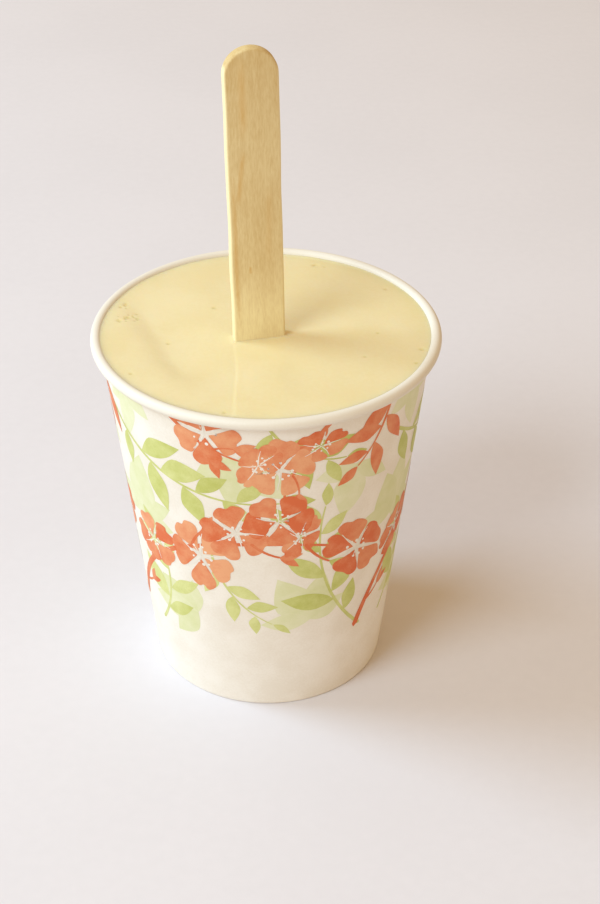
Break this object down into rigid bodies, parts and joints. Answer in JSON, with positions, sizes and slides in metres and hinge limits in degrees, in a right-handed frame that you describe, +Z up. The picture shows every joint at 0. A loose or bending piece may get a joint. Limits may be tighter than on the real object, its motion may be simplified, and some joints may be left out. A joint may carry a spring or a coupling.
{
  "type": "gelato cup",
  "caption": "Small printed paper cup with a rolled rim, filled to the rim with pale yellow frozen gelato, with a flat wooden stick standing upright in it",
  "frame": {"origin": "centre of the cup's foot, on the surface that it stands on", "axes": "+Z up along the cup's own axis and the stick, -Y to the front, +Y to the paper's side seam"},
  "size_m": [0.065, 0.065, 0.1279],
  "materials": {
    "paper": "satin",
    "gelato": "soft sheen, frozen food",
    "wood": "matte"
  },
  "bodies": {
    "root": {"cup_wall": "paper", "cup_bottom": "paper", "gelato": "gelato", "stick": "wood"}
  },
  "joints": []
}
